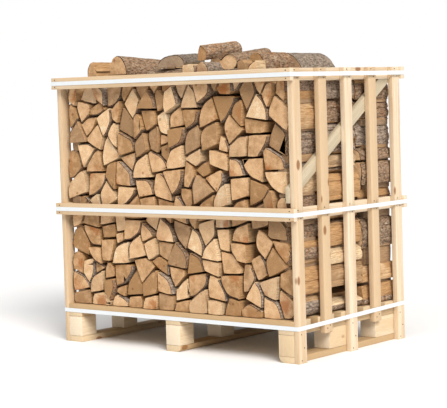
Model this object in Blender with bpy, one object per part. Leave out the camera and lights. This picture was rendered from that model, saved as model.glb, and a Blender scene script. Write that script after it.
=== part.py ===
"""Stack of split firewood in a slatted crate on a block pallet, held by three straps.

Metres, +Z up, +X to the right along the log ends, +Y from front to back.
The origin is on the floor, under the middle of the crate.
"""

import math
import random

import bmesh
import bpy
import numpy as np

# Crate: two side panels of upright slats, and rails across the front and the back.
SLAT_HEIGHT = 1.100
CRATE_WIDTH = 1.220         # between the outer faces of the side slats
CRATE_DEPTH = 0.720         # from the front edge of the first slat to the rear edge of the last
SLAT_WIDTH = 0.050
SLATS_A_SIDE = 5
SHORT_SLAT_FOOT = 0.094     # the second and fourth slats end at the stringer
BATTEN_THICK = 0.022
RAIL_WIDTH = 0.048
RAIL_OVERHANG = 0.010       # of the front and back rails past the slats
MIDDLE_RAIL_HEIGHT = 0.557  # centre of the rail's width
BRACE_FOOT = 0.628          # height of the brace's centre line at its low end
BRACE_RISE = 0.650          # height gained for each metre along the panel

# Pallet: runners, blocks and stringers from front to back, and deck boards across them.
RUNNER_WIDTH = 0.0735
RUNNER_THICK = 0.0245
STRINGER_UNDERSIDE = 0.106
STRINGER_THICK = 0.025
DECK_TOP = 0.158
DECK_BOARDS = 5
DECK_BOARD_WIDTH = 0.108
MIDDLE_RUNNER_SHIFT = -0.012
BLOCK_SPANS = {             # front and rear face of each block
    "left": {"front": (-0.360, -0.275), "middle": (-0.105, -0.020), "back": (0.275, 0.360)},
    "middle": {"front": (-0.360, -0.275), "middle": (-0.105, -0.020), "back": (0.275, 0.360)},
    "right": {"front": (-0.360, -0.285), "middle": (-0.135, 0.030), "back": (0.180, 0.360)},
}
RUNNER_WANES = {"left": 0.006, "middle": -0.013, "right": 0.020}  # missing edge: + left, - right

# Straps.
STRAP_WIDTH = 0.016
STRAP_THICK = 0.001
STRAP_CORNER = 0.0006
LOW_STRAP_HEIGHT = 0.139
LOW_STRAP_CLIMB = 0.020     # rise of the low strap for each metre towards the back

# Logs: three rows from front to back, each row a pile of split logs lying side by side.
LOG_LENGTH = 0.224
ROW_SPACING = 0.233
LOG_GAP = 0.004             # between two logs of a row
END_STAGGER = 0.030         # how far back a log's end may stand from the front of its row
END_USUAL = 0.6             # share of the stagger at which most ends stand
END_PROUD = 0.013           # how far the foremost ends stand out of an even row
BACK_STAGGER = 0.3          # share of the stagger that is left in the back row
GROOVE_DEPTH = 0.075        # of the gaps between the logs in a row's visible end
JOINT = 0.001               # overlap along the logs that joins them to the row's core
PILE_WIDTH = 1.128          # between the rails of the side panels
LEAST_TOUCH = 0.012         # a log this near to the side of the pile counts as a side log
SIDE_CLEARANCE = 0.002      # between a log that bulges out between the rails and the slats
PILE_LIMIT = 1.086          # no log of a row reaches higher
ARC_STEP = math.radians(26.0)
COLUMN = 0.003              # width of a column of the pile's height profile
REACH = 14                  # columns looked at on either side of a log
GROWTH = 0.007              # a log may swell by this into the voids around it
LARGEST_LOG = 0.200         # half the side of the square that any log fits in
NEIGHBOURHOOD = 0.250       # logs whose middles are farther apart don't touch
TRIALS = 24                 # log shapes tried for each place
CREVICE_WEIGHT = 1.0
HEIGHT_WEIGHT = 0.2
SHORTEST_EDGE = 0.004
CORE_INSET = 0.030          # of a row's core from the sides and the top of the pile
CORE_FOOT = 0.018
CORE_STEPS = 14             # corners along the core's uneven top
ROW_SEEDS = {"front": 7, "middle": 12, "back": 4}

GAP = 0.0003                # between parts that touch

PINE = (0.78, 0.62, 0.42)
PALE_PINE = (0.83, 0.72, 0.55)
ROUGH_PINE = (0.70, 0.56, 0.38)
SPLIT_WOOD = (0.62, 0.42, 0.23)
BARK = (0.30, 0.24, 0.18)
STRAP_WHITE = (0.86, 0.90, 0.92)

SLAT_FACE = CRATE_WIDTH / 2
PANEL_FACE = SLAT_FACE - BATTEN_THICK - GAP    # what the slats are nailed to
DECK_UNDERSIDE = STRINGER_UNDERSIDE + STRINGER_THICK + GAP
TOP_RAIL_UNDERSIDE = SLAT_HEIGHT - RAIL_WIDTH
MIDDLE_RAIL_TOP = MIDDLE_RAIL_HEIGHT + RAIL_WIDTH / 2


def clear_scene():
    for item in list(bpy.data.objects):
        bpy.data.objects.remove(item, do_unlink=True)


def make_material(name, colour, roughness):
    material = bpy.data.materials.new(name)
    material.use_nodes = True
    shader = material.node_tree.nodes["Principled BSDF"]
    shader.inputs["Base Color"].default_value = (*colour, 1.0)
    shader.inputs["Roughness"].default_value = roughness
    shader.inputs["Metallic"].default_value = 0.0
    return material


def add_object(name, shape, material):
    """Make an object of a bmesh, which is freed."""
    bmesh.ops.recalc_face_normals(shape, faces=shape.faces)
    mesh = bpy.data.meshes.new(name)
    shape.to_mesh(mesh)
    shape.free()
    mesh.materials.append(material)
    item = bpy.data.objects.new(name, mesh)
    bpy.context.collection.objects.link(item)
    return item


def add_prism(shape, start, end):
    """Join two outlines with the same number of points into a closed body."""
    lower = [shape.verts.new(point) for point in start]
    upper = [shape.verts.new(point) for point in end]
    shape.faces.new(lower)
    shape.faces.new(reversed(upper))
    for i, corner in enumerate(lower):
        shape.faces.new((lower[i - 1], upper[i - 1], upper[i], corner))


def add_bar(name, low, high, material):
    """A sawn bar between two opposite corners."""
    shape = bmesh.new()
    outline = [(low[0], low[2]), (high[0], low[2]), (high[0], high[2]), (low[0], high[2])]
    add_prism(shape, [(x, low[1], z) for x, z in outline], [(x, high[1], z) for x, z in outline])
    return add_object(name, shape, material)


# Pallet

def runner_centres():
    edge = PANEL_FACE - RUNNER_WIDTH / 2
    return {"left": -edge, "middle": MIDDLE_RUNNER_SHIFT, "right": edge}


def add_runner(name, centre, wane, material):
    """A bottom board with the round edge of the tree left on its lower side."""
    left, right = centre - RUNNER_WIDTH / 2, centre + RUNNER_WIDTH / 2
    drop = min(abs(wane), RUNNER_THICK * 0.8)
    outline = [(left, RUNNER_THICK), (right, RUNNER_THICK)]
    if wane < 0:
        outline += [(right, drop), (right + wane * 0.4, drop * 0.3), (right + wane, 0.0), (left, 0.0)]
    else:
        outline += [(right, 0.0), (left + wane, 0.0), (left + wane * 0.4, drop * 0.3), (left, drop)]
    shape = bmesh.new()
    half = CRATE_DEPTH / 2
    add_prism(shape, [(x, -half, z) for x, z in outline], [(x, half, z) for x, z in outline])
    return add_object(name, shape, material)


def add_pallet(materials):
    half = CRATE_DEPTH / 2
    for side, centre in runner_centres().items():
        left, right = centre - RUNNER_WIDTH / 2, centre + RUNNER_WIDTH / 2
        add_runner(f"runner_{side}", centre, RUNNER_WANES[side], materials["rough_pine"])
        for place, (front, back) in BLOCK_SPANS[side].items():
            add_bar(f"block_{side}_{place}", (left, front, RUNNER_THICK + GAP),
                    (right, back, STRINGER_UNDERSIDE - GAP), materials["pale_pine"])
        add_bar(f"stringer_{side}", (left, -half, STRINGER_UNDERSIDE),
                (right, half, STRINGER_UNDERSIDE + STRINGER_THICK), materials["rough_pine"])
    spacing = (CRATE_DEPTH - DECK_BOARD_WIDTH) / (DECK_BOARDS - 1)
    for i in range(DECK_BOARDS):
        front = -half + i * spacing
        add_bar(f"deck_board_{i + 1}", (-PANEL_FACE, front, DECK_UNDERSIDE),
                (PANEL_FACE, front + DECK_BOARD_WIDTH, DECK_TOP), materials["rough_pine"])


# Crate

def add_brace(name, inner, outer, rising, material):
    """A diagonal batten between the middle and the top rail, inside the slats."""
    half = CRATE_DEPTH / 2
    rise = RAIL_WIDTH / 2 * math.hypot(1.0, BRACE_RISE)
    ceiling = TOP_RAIL_UNDERSIDE - GAP
    outline = [
        (-half, BRACE_FOOT - rise),
        ((ceiling - BRACE_FOOT + rise) / BRACE_RISE - half, ceiling),
        ((ceiling - BRACE_FOOT - rise) / BRACE_RISE - half, ceiling),
        (-half, BRACE_FOOT + rise),
    ]
    shape = bmesh.new()
    add_prism(shape, [(inner, rising * y, z) for y, z in outline],
              [(outer, rising * y, z) for y, z in outline])
    return add_object(name, shape, material)


def add_side_panel(side, sign, materials):
    """Slats on the outside, rails and a brace behind them."""
    half = CRATE_DEPTH / 2
    spacing = (CRATE_DEPTH - SLAT_WIDTH) / (SLATS_A_SIDE - 1)
    inner, outer = sorted((sign * (SLAT_FACE - BATTEN_THICK), sign * SLAT_FACE))
    for i in range(SLATS_A_SIDE):
        foot = SHORT_SLAT_FOOT if i % 2 else 0.0
        front = -half + i * spacing
        add_bar(f"slat_{side}_{i + 1}", (inner, front, foot),
                (outer, front + SLAT_WIDTH, SLAT_HEIGHT), materials["pine"])
    inner, outer = sorted((sign * (PANEL_FACE - BATTEN_THICK), sign * PANEL_FACE))
    for place, underside in rail_undersides().items():
        add_bar(f"side_rail_{side}_{place}", (inner, -half, underside),
                (outer, half, underside + RAIL_WIDTH), materials["pine"])
    add_brace(f"brace_{side}", inner, outer, sign, materials["pine"])


def rail_undersides():
    return {"top": TOP_RAIL_UNDERSIDE, "middle": MIDDLE_RAIL_TOP - RAIL_WIDTH}


def add_cross_rails(materials):
    near = CRATE_DEPTH / 2 + GAP
    half = SLAT_FACE + RAIL_OVERHANG
    for end, sign in (("front", -1), ("back", 1)):
        low, high = sorted((sign * near, sign * (near + BATTEN_THICK)))
        for place, underside in rail_undersides().items():
            add_bar(f"rail_{end}_{place}", (-half, low, underside),
                    (half, high, underside + RAIL_WIDTH), materials["pine"])


# Straps

def rounded_rectangle(half_x, half_y, radius, steps=3):
    points = []
    for quarter in range(4):
        start = quarter * math.pi / 2
        corner_x = math.copysign(half_x - radius, math.cos(start + math.pi / 4))
        corner_y = math.copysign(half_y - radius, math.sin(start + math.pi / 4))
        for i in range(steps):
            angle = start + i / (steps - 1) * math.pi / 2
            points.append((corner_x + radius * math.cos(angle), corner_y + radius * math.sin(angle)))
    return points


def add_strap(name, half_x, half_y, height, climb, material):
    """A flat band round a rectangle, higher towards the back by the given climb."""
    shape = bmesh.new()
    inside = rounded_rectangle(half_x + GAP, half_y + GAP, STRAP_CORNER)
    outside = rounded_rectangle(half_x + GAP + STRAP_THICK, half_y + GAP + STRAP_THICK,
                                STRAP_CORNER + STRAP_THICK)
    rings = []
    for outline, level in ((inside, -1), (outside, -1), (outside, 1), (inside, 1)):
        rings.append([shape.verts.new((x, y, height + climb * y + level * STRAP_WIDTH / 2))
                      for x, y in outline])
    for j, ring in enumerate(rings):
        before = rings[j - 1]
        for i in range(len(ring)):
            shape.faces.new((before[i - 1], before[i], ring[i], ring[i - 1]))
    return add_object(name, shape, material)


def add_straps(materials):
    half_x = SLAT_FACE + RAIL_OVERHANG
    half_y = CRATE_DEPTH / 2 + GAP + BATTEN_THICK
    strap = materials["strap"]
    for place, underside in rail_undersides().items():
        add_strap(f"strap_{place}", half_x, half_y, underside + RAIL_WIDTH / 2, 0.0, strap)
    add_strap("strap_low", SLAT_FACE, CRATE_DEPTH / 2, LOW_STRAP_HEIGHT, LOW_STRAP_CLIMB, strap)


# Cross-sections of split logs, as convex outlines of (x, z) round the heart of the tree

def arc(radius, start, stop):
    steps = max(2, round((stop - start) / ARC_STEP))
    angles = [start + (stop - start) * i / steps for i in range(steps + 1)]
    return [(radius * math.cos(angle), radius * math.sin(angle)) for angle in angles]


def slice_of_trunk(draw, radius, spread, heart):
    """A slice with bark on its round side; heart is how far its inner side is from the middle."""
    outline = arc(radius, -spread / 2, spread / 2)
    if heart == 0.0:
        return outline + [(0.0, 0.0)]
    half = heart * math.tan(spread / 2) * draw.uniform(0.7, 1.0)
    lean = draw.uniform(-0.25, 0.25) * heart
    return outline + [(heart + lean, half), (heart - lean, -half)]


def wedge(draw):
    spread = math.radians(draw.uniform(50.0, 100.0))
    radius = math.sqrt(2 * draw.uniform(0.0042, 0.0074) / spread)
    return slice_of_trunk(draw, min(radius, 0.112), spread, draw.choice((0.0, 0.0, 0.010, 0.015)))


def slab(draw):
    radius = draw.uniform(0.076, 0.115)
    return slice_of_trunk(draw, radius, math.radians(draw.uniform(42.0, 65.0)),
                          radius * draw.uniform(0.3, 0.5))


def half_log(draw):
    return slice_of_trunk(draw, draw.uniform(0.045, 0.056), math.radians(draw.uniform(150.0, 178.0)), 0.0)


def whole_log(draw):
    return arc(draw.uniform(0.028, 0.036), 0.0, math.tau)[:-1]


def heartwood(draw):
    """A four-sided piece from inside the trunk, without bark."""
    half_x, half_z = draw.uniform(0.029, 0.044), draw.uniform(0.027, 0.037)
    return [(x + draw.uniform(-0.012, 0.012), z + draw.uniform(-0.012, 0.012))
            for x, z in ((-half_x, -half_z), (half_x, -half_z), (half_x, half_z), (-half_x, half_z))]


def small_wedge(draw):
    return slice_of_trunk(draw, draw.uniform(0.044, 0.060), math.radians(draw.uniform(50.0, 95.0)), 0.0)


SECTIONS = ((wedge, 0.60), (slab, 0.12), (half_log, 0.12), (whole_log, 0.03),
            (heartwood, 0.08), (small_wedge, 0.05))


def turned(outline, angle):
    cosine, sine = math.cos(angle), math.sin(angle)
    return [(x * cosine - z * sine, x * sine + z * cosine) for x, z in outline]


def area(outline):
    pairs = zip(outline, outline[1:] + outline[:1])
    return abs(sum(a[0] * b[1] - b[0] * a[1] for a, b in pairs)) / 2


def middle(outline):
    return (sum(x for x, _ in outline) / len(outline), sum(z for _, z in outline) / len(outline))


def sides(outline):
    """The outward normal and the offset of each side of an anticlockwise outline."""
    for (x0, z0), (x1, z1) in zip(outline, outline[1:] + outline[:1]):
        length = math.hypot(x1 - x0, z1 - z0)
        normal = ((z1 - z0) / length, (x0 - x1) / length)
        yield normal, normal[0] * x0 + normal[1] * z0


# The pile: each log is dropped where it fits best over the lowest place

def profiles(outline):
    """Left end, and the heights of the underside and the top in each column."""
    left = min(x for x, _ in outline)
    width = max(x for x, _ in outline) - left
    grid = np.linspace(0.0, width, max(2, math.ceil(width / COLUMN)) + 1)
    under = np.full(len(grid), np.inf)
    over = np.full(len(grid), -np.inf)
    for (x0, z0), (x1, z1) in zip(outline, outline[1:] + outline[:1]):
        (x0, z0), (x1, z1) = sorted(((x0 - left, z0), (x1 - left, z1)))
        span = max(x1 - x0, 1e-6)
        inside = (grid >= x0 - 1e-6) & (grid <= x0 + span + 1e-6)
        height = z0 + (grid[inside] - x0) * (z1 - z0) / span
        under[inside] = np.minimum(under[inside], height)
        over[inside] = np.maximum(over[inside], height)
    return left, np.minimum(under[:-1], under[1:]), np.maximum(over[:-1], over[1:])


def crevices(beside, height):
    """Area of the slot between a log's end column and the next higher place beside it."""
    open_space = np.logical_and.accumulate(beside < height[:, None], axis=1)
    slot = np.where(open_space, height[:, None] - beside, 0.0).sum(axis=1) * COLUMN
    return np.where(open_space[:, -1], 0.0, slot)


def best_place(outline, skyline, low):
    """Score, column and height of the place over column low where the outline fits best."""
    left, under, over = profiles(outline)
    columns = len(under)
    first = max(REACH, low - columns + 1)
    last = min(len(skyline) - REACH - columns, low)
    if last < first:
        return None
    below = np.lib.stride_tricks.sliding_window_view(skyline, columns)[first:last + 1]
    height = (below - under).max(axis=1)
    void = (height[:, None] + under - below).sum(axis=1) * COLUMN
    around = np.lib.stride_tricks.sliding_window_view(skyline, REACH)
    before = around[first - REACH:last + 1 - REACH][:, ::-1]
    after = around[first + columns:last + 1 + columns]
    slots = crevices(before, height + over[0]) + crevices(after, height + over[-1])
    size = area(outline)
    top = height + over.max()
    score = (void + CREVICE_WEIGHT * slots) / size
    score += HEIGHT_WEIGHT * (top - skyline[low]) / math.sqrt(size)
    score[top > PILE_LIMIT] = np.inf
    choice = int(np.argmin(score))
    if not np.isfinite(score[choice]):
        return None
    return score[choice], first + choice, height[choice], outline, left, under, over


def slopes_beside(skyline, low):
    """Slopes of the pile on both sides of a column, close by and farther off."""
    slopes = []
    for side in (-1, 1):
        for columns in (5, 11):
            other = min(max(low + side * columns, REACH), len(skyline) - REACH - 1)
            if other == low:
                continue
            rise = side * (skyline[other] - skyline[low])
            slope = math.atan2(rise, abs(other - low) * COLUMN)
            if all(abs(slope - known) > 0.05 for known in slopes):
                slopes.append(slope)
    return slopes


def candidates(draw, skyline, low):
    """Places for random sections, each turned so that a side lies along the pile."""
    makers, weights = zip(*SECTIONS)
    slopes = slopes_beside(skyline, low)
    for _ in range(TRIALS):
        outline = draw.choices(makers, weights)[0](draw)
        for (normal_x, normal_z), _ in list(sides(outline)):
            for slope in slopes:
                turn = slope - math.pi / 2 - math.atan2(normal_z, normal_x)
                place = best_place(turned(outline, turn), skyline, low)
                if place:
                    yield place


def drop_logs(seed, floor):
    """Outlines of the logs of one row, piled from the floor up, and the pile's skyline."""
    draw = random.Random(seed)
    columns = int(PILE_WIDTH / COLUMN)
    wall = np.full(REACH, 9.0)
    skyline = np.concatenate((wall, np.full(columns, floor), wall))
    logs = []
    while skyline.min() < PILE_LIMIT - 0.035:
        low = int(np.argmin(skyline))
        place = min(candidates(draw, skyline, low), key=lambda found: found[0], default=None)
        if place is None:
            hole = slice(max(REACH, low - 4), min(REACH + columns, low + 5))
            skyline[hole] = np.maximum(skyline[hole], skyline[low] + 0.03)
            continue
        _, column, height, outline, left, under, over = place
        shift = (column - REACH) * COLUMN - PILE_WIDTH / 2 - left
        logs.append([(x + shift, z + height) for x, z in outline])
        skyline[column:column + len(under)] = height + over
    return logs, skyline[REACH:-REACH]


# Swelling: each log grows towards its neighbours until an even gap is left

def clipped(outline, normal, offset):
    """The part of a convex outline on the inner side of a line."""
    kept = []
    for a, b in zip(outline, outline[1:] + outline[:1]):
        from_a = normal[0] * a[0] + normal[1] * a[1] - offset
        from_b = normal[0] * b[0] + normal[1] * b[1] - offset
        if from_a <= 0:
            kept.append(a)
        if from_a * from_b < 0:
            share = from_a / (from_a - from_b)
            kept.append((a[0] + (b[0] - a[0]) * share, a[1] + (b[1] - a[1]) * share))
    return kept


def clearance(normal, offset, outline):
    return min(normal[0] * x + normal[1] * z for x, z in outline) - offset


def parting_line(outline, other):
    """The line between two outlines that leaves the most room, halfway across the gap."""
    gaps = []
    for normal, offset in sides(outline):
        gap = clearance(normal, offset, other)
        gaps.append((gap, normal, offset + gap / 2))
    for normal, offset in sides(other):
        gap = clearance(normal, offset, outline)
        gaps.append((gap, (-normal[0], -normal[1]), -(offset + gap / 2)))
    return max(gaps)


def without_short_edges(outline):
    kept = []
    for point in outline:
        if not kept or math.dist(point, kept[-1]) > SHORTEST_EDGE:
            kept.append(point)
    if math.dist(kept[0], kept[-1]) <= SHORTEST_EDGE:
        kept.pop()
    return kept


def side_reach(sign, low, high, front, back):
    """How far a log between two heights may bulge out past the rails and the brace of a panel."""
    blocked = [(underside, underside + RAIL_WIDTH) for underside in rail_undersides().values()]
    rise = RAIL_WIDTH / 2 * math.hypot(1.0, BRACE_RISE)
    near, far = sorted((sign * front, sign * back))
    blocked.append((BRACE_FOOT - rise + BRACE_RISE * (near + CRATE_DEPTH / 2),
                    BRACE_FOOT + rise + BRACE_RISE * (far + CRATE_DEPTH / 2)))
    if any(low < top + SIDE_CLEARANCE and high > bottom - SIDE_CLEARANCE for bottom, top in blocked):
        return 0.0
    return PANEL_FACE - SIDE_CLEARANCE - PILE_WIDTH / 2


def swollen(logs, floor, front, back, draw):
    """The outlines grown into the gaps round them, in the row between two depths."""
    middles = [middle(outline) for outline in logs]
    grown = []
    for i, outline in enumerate(logs):
        x, z = middles[i]
        cell = [(x - LARGEST_LOG, z - LARGEST_LOG), (x + LARGEST_LOG, z - LARGEST_LOG),
                (x + LARGEST_LOG, z + LARGEST_LOG), (x - LARGEST_LOG, z + LARGEST_LOG)]
        sign = math.copysign(1.0, x)
        low = min(height for _, height in outline) - GROWTH
        high = max(height for _, height in outline) + GROWTH
        bulge = side_reach(sign, low, high, front, back)
        bulge *= draw.uniform(0.6, 1.0)
        if max(abs(across) for across, _ in outline) < PILE_WIDTH / 2 - LEAST_TOUCH:
            bulge = 0.0
        for normal, offset in sides(outline):
            cell = clipped(cell, normal, offset + GROWTH + bulge * max(0.0, sign * normal[0]))
        for normal, offset in (((sign, 0), PILE_WIDTH / 2 + bulge), ((0, -1), -max(low, floor)),
                               ((0, 1), min(high, PILE_LIMIT))):
            cell = clipped(cell, normal, offset)
        for j, other in enumerate(logs):
            if i != j and math.dist(middles[i], middles[j]) < NEIGHBOURHOOD:
                _, normal, offset = parting_line(outline, other)
                cell = clipped(cell, normal, offset - LOG_GAP / 2)
        grown.append(without_short_edges(cell))
    return grown


# Rows

def core_outline(skyline, floor):
    """Outline of the solid middle of a row, well inside the pile."""
    half = PILE_WIDTH / 2 - CORE_INSET
    outline = [(-half, floor + CORE_FOOT), (half, floor + CORE_FOOT)]
    for i in range(CORE_STEPS + 1):
        x = half - 2 * half * i / CORE_STEPS
        column = int((x + PILE_WIDTH / 2) / COLUMN)
        reach = int(half / CORE_STEPS / COLUMN)
        near = skyline[max(0, column - reach):column + reach + 1]
        outline.append((x, min(near) - CORE_INSET))
    return outline


def is_inside(point, outline):
    inside = False
    for (x0, z0), (x1, z1) in zip(outline, outline[1:] + outline[:1]):
        if (z0 > point[1]) != (z1 > point[1]):
            inside ^= point[0] < x0 + (point[1] - z0) * (x1 - x0) / (z1 - z0)
    return inside


def add_core(outline, front, back):
    """The cutter that joins the logs of a row into one solid."""
    shape = bmesh.new()
    add_prism(shape, [(x, front, z) for x, z in outline], [(x, back, z) for x, z in outline])
    core = add_object("core_guide", shape, None)
    core.hide_render = True
    core.display_type = "WIRE"
    return core


def add_log_row(place, sign, material):
    """One row as a single solid; sign is -1 where its visible ends face the front, 1 the back."""
    floor = DECK_TOP + GAP
    logs, skyline = drop_logs(ROW_SEEDS[place], floor)
    core = core_outline(skyline, floor)
    draw = random.Random(ROW_SEEDS[place])
    near = sign * ROW_SPACING + LOG_LENGTH / 2 * (sign or -1)
    far = sign * ROW_SPACING - LOG_LENGTH / 2 * (sign or -1)
    inwards = -(sign or -1)
    shape = bmesh.new()
    for outline in swollen(logs, floor, *sorted((near, far)), draw):
        depth = draw.triangular(0.0, END_STAGGER, END_STAGGER * END_USUAL)
        depth *= BACK_STAGGER if sign > 0 else 1.0
        inside = [is_inside(point, core) for point in outline]
        is_hidden = all(inside) and not sign
        if is_hidden or not (any(inside) or is_inside(middle(outline), core)):
            continue
        start = near - inwards * (END_PROUD - depth) if sign else near
        add_prism(shape, [(x, start, z) for x, z in outline],
                  [(x, far - inwards * JOINT, z) for x, z in outline])
    row = add_object(f"log_row_{place}", shape, material)
    core_near = near + inwards * (GROOVE_DEPTH if sign else JOINT)
    guide = add_core(core, *sorted((core_near, far)))
    join = row.modifiers.new("join", "BOOLEAN")
    join.operation = "UNION"
    join.solver = "EXACT"
    join.object = guide
    return row


# Loose logs on top of the pile

def add_loose_log(name, outline, front, length, yaw, pitch, material):
    """A split log that lies on the pile, from the lower left corner of its front end."""
    shape = bmesh.new()
    yaw, pitch = math.radians(yaw), math.radians(pitch)
    run = (-math.sin(yaw) * math.cos(pitch) * length, math.cos(yaw) * math.cos(pitch) * length,
           math.sin(pitch) * length)
    start = [(front[0] + x * math.cos(yaw), front[1] + x * math.sin(yaw), front[2] + z)
             for x, z in outline]
    end = [(x + run[0], y + run[1], z + run[2]) for x, y, z in start]
    add_prism(shape, start, end)
    return add_object(name, shape, material)


def dome(width, height, flare=0.0):
    """A round-backed outline that stands on a flat side."""
    half = width / 2
    points = [(half + half * math.cos(i * math.pi / 6), height * math.sin(i * math.pi / 6) ** 0.8)
              for i in range(1, 6)]
    return [(flare, 0.0), (width - flare, 0.0), (width, height * 0.35)] + points[:-1] + \
        [(width * 0.05, height * 0.5), (0.0, height * 0.3)]


def add_loose_logs(material):
    rest = PILE_LIMIT + 0.002
    low_wedge = [(0.004, 0.0), (0.064, 0.0), (0.036, 0.074), (0.017, 0.067), (0.003, 0.040)]
    broad_slab = [(0.004, 0.0), (0.116, 0.002), (0.122, 0.016), (0.110, 0.040), (0.088, 0.053),
                  (0.050, 0.050), (0.016, 0.036), (0.0, 0.014)]
    sloping_back = [(0.0, 0.0), (0.120, 0.0), (0.119, 0.010), (0.108, 0.030), (0.086, 0.056),
                    (0.055, 0.074), (0.020, 0.079), (0.0, 0.074)]
    small_block = [(0.002, 0.0), (0.064, 0.0), (0.068, 0.026), (0.058, 0.046), (0.0, 0.042)]
    tall_wedge = [(0.0, 0.0), (0.044, 0.0), (0.052, 0.014), (0.050, 0.034), (0.037, 0.054),
                  (0.014, 0.064), (0.003, 0.034)]
    round_block = [(0.022, 0.0), (0.076, 0.002), (0.088, 0.016), (0.092, 0.032), (0.086, 0.050),
                   (0.078, 0.058), (0.060, 0.064), (0.034, 0.062), (0.0, 0.036)]
    sliver = [(0.0, 0.0), (0.040, 0.0), (0.040, 0.036), (0.024, 0.054), (0.004, 0.046)]
    small_ridge = [(0.0, 0.0), (0.056, 0.0), (0.048, 0.050), (0.012, 0.028)]
    lying = [
        (low_wedge, (-0.463, -0.330, rest), LOG_LENGTH, 0.0, 0.0),
        (dome(0.114, 0.080), (-0.332, -0.335, rest + 0.014), LOG_LENGTH, -8.0, -4.0),
        (broad_slab, (-0.092, -0.312, rest + 0.034), LOG_LENGTH, 18.0, 2.5),
        (small_block, (0.062, -0.338, rest), 0.200, 0.0, 0.0),
        (dome(0.064, 0.052, 0.004), (0.133, -0.338, rest), LOG_LENGTH, 0.0, 0.0),
        (tall_wedge, (0.124, -0.318, rest + 0.054), LOG_LENGTH, 0.0, 4.9),
        (round_block, (0.246, -0.335, rest + 0.014), LOG_LENGTH, 0.5, 6.0),
        (sliver, (0.342, -0.345, rest), 0.056, 0.0, 0.0),
        (small_ridge, (0.388, -0.348, rest), 0.058, 0.0, 0.0),
        (dome(0.088, 0.080, 0.006), (0.341, -0.284, rest), 0.188, 0.0, 0.0),
        (sloping_back, (0.344, -0.090, rest), LOG_LENGTH, 0.0, 0.0),
        (dome(0.100, 0.084), (-0.110, 0.020, rest), LOG_LENGTH, -4.0, 0.0),
        (low_wedge, (-0.372, 0.060, rest), LOG_LENGTH, 6.0, 0.0),
        (dome(0.092, 0.034), (-0.165, -0.206, rest), LOG_LENGTH, -90.0, 0.0),
    ]
    for i, placing in enumerate(lying):
        add_loose_log(f"loose_log_{i + 1}", *placing, material)


def main():
    clear_scene()
    materials = {
        "pine": make_material("pine", PINE, 0.65),
        "pale_pine": make_material("pale_pine", PALE_PINE, 0.75),
        "rough_pine": make_material("rough_pine", ROUGH_PINE, 0.75),
        "split_wood": make_material("split_wood", SPLIT_WOOD, 0.8),
        "bark": make_material("bark", BARK, 0.9),
        "strap": make_material("strap", STRAP_WHITE, 0.35),
    }
    add_pallet(materials)
    add_side_panel("left", -1, materials)
    add_side_panel("right", 1, materials)
    add_cross_rails(materials)
    add_straps(materials)
    for place, sign in (("front", -1), ("middle", 0), ("back", 1)):
        add_log_row(place, sign, materials["split_wood"])
    add_loose_logs(materials["bark"])


main()
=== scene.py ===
"""Split firewood in a slatted crate on a pallet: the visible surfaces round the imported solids.

Run as a script it makes every piece; laid out as an add-on, its panel lists one button for each.
All sizes are metres unless a name says otherwise, +X runs along the log ends, +Y to the back.
"""

import math
import random
from functools import partial

import bmesh
import bpy
from bpy.props import FloatProperty, FloatVectorProperty, IntProperty, PointerProperty
from bpy.types import Node, NodeSocket, Operator, Panel, PropertyGroup
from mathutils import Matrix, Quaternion, Vector, noise


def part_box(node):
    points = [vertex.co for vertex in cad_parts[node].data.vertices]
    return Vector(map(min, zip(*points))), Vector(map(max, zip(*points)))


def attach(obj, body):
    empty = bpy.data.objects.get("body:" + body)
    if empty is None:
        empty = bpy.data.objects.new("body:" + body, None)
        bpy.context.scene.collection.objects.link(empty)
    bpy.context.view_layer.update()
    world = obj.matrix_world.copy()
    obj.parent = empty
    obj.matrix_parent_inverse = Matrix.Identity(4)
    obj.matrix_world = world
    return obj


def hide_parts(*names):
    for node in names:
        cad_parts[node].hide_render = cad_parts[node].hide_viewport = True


bl_info = {
    "name": "Crated Firewood",
    "version": (1, 0, 0),
    "blender": (4, 5, 0),
    "location": "3D View > Sidebar > Firewood",
    "description": "Makes a strapped crate of split firewood round its packed solids",
    "category": "Object",
}

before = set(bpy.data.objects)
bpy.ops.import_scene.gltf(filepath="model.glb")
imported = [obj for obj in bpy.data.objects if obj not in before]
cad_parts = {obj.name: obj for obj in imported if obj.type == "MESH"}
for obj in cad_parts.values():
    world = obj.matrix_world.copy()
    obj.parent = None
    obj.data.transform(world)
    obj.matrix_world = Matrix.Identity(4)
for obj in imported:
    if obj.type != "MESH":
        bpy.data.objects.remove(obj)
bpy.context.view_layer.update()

MM = 0.001
WAVE_TURN = math.tau / 20.0   # a wave texture of scale 1 repeats every this many metres
HARD_TURN = math.radians(37.0)    # a split log's outline turns more than this at an edge
PILE_SIDE = 0.564             # from the crate's middle to the side of an even row
COARSE_WAVES = 60.0, 22.0     # waves in a log's side for each metre round it and along it
FINE_WAVES = 170.0, 60.0
LOG_SPACING = 0.035           # logs whose middles are closer than this across lie above each other
END, SPLIT, BARK, RIM = range(4)  # material slots of a log


def linear(code):
    """Linear RGBA of an sRGB hex colour."""
    parts = [int(code[i:i + 2], 16) / 255.0 for i in (1, 3, 5)]
    return [p / 12.92 if p <= 0.04045 else ((p + 0.055) / 1.055) ** 2.4 for p in parts] + [1.0]


def tint(name, description, code):
    return FloatVectorProperty(name=name, description=description, subtype="COLOR", size=4,
                               min=0.0, max=1.0, default=linear(code))


def metres(name, description, default):
    return FloatProperty(name=name, description=description, unit="LENGTH", subtype="DISTANCE",
                         precision=4, min=0.0, default=default)


def fraction(name, description, default):
    return FloatProperty(name=name, description=description, subtype="FACTOR",
                         min=0.0, max=1.0, default=default)


def strength(name, description, default):
    return FloatProperty(name=name, description=description, min=0.0, default=default)


def softness(name, description, degrees):
    return FloatProperty(name=name, description=description, subtype="ANGLE", min=0.0,
                         default=math.radians(degrees))


def seed_number(default):
    return IntProperty(name="Seed", description="Starts the random draws", default=default)


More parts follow.
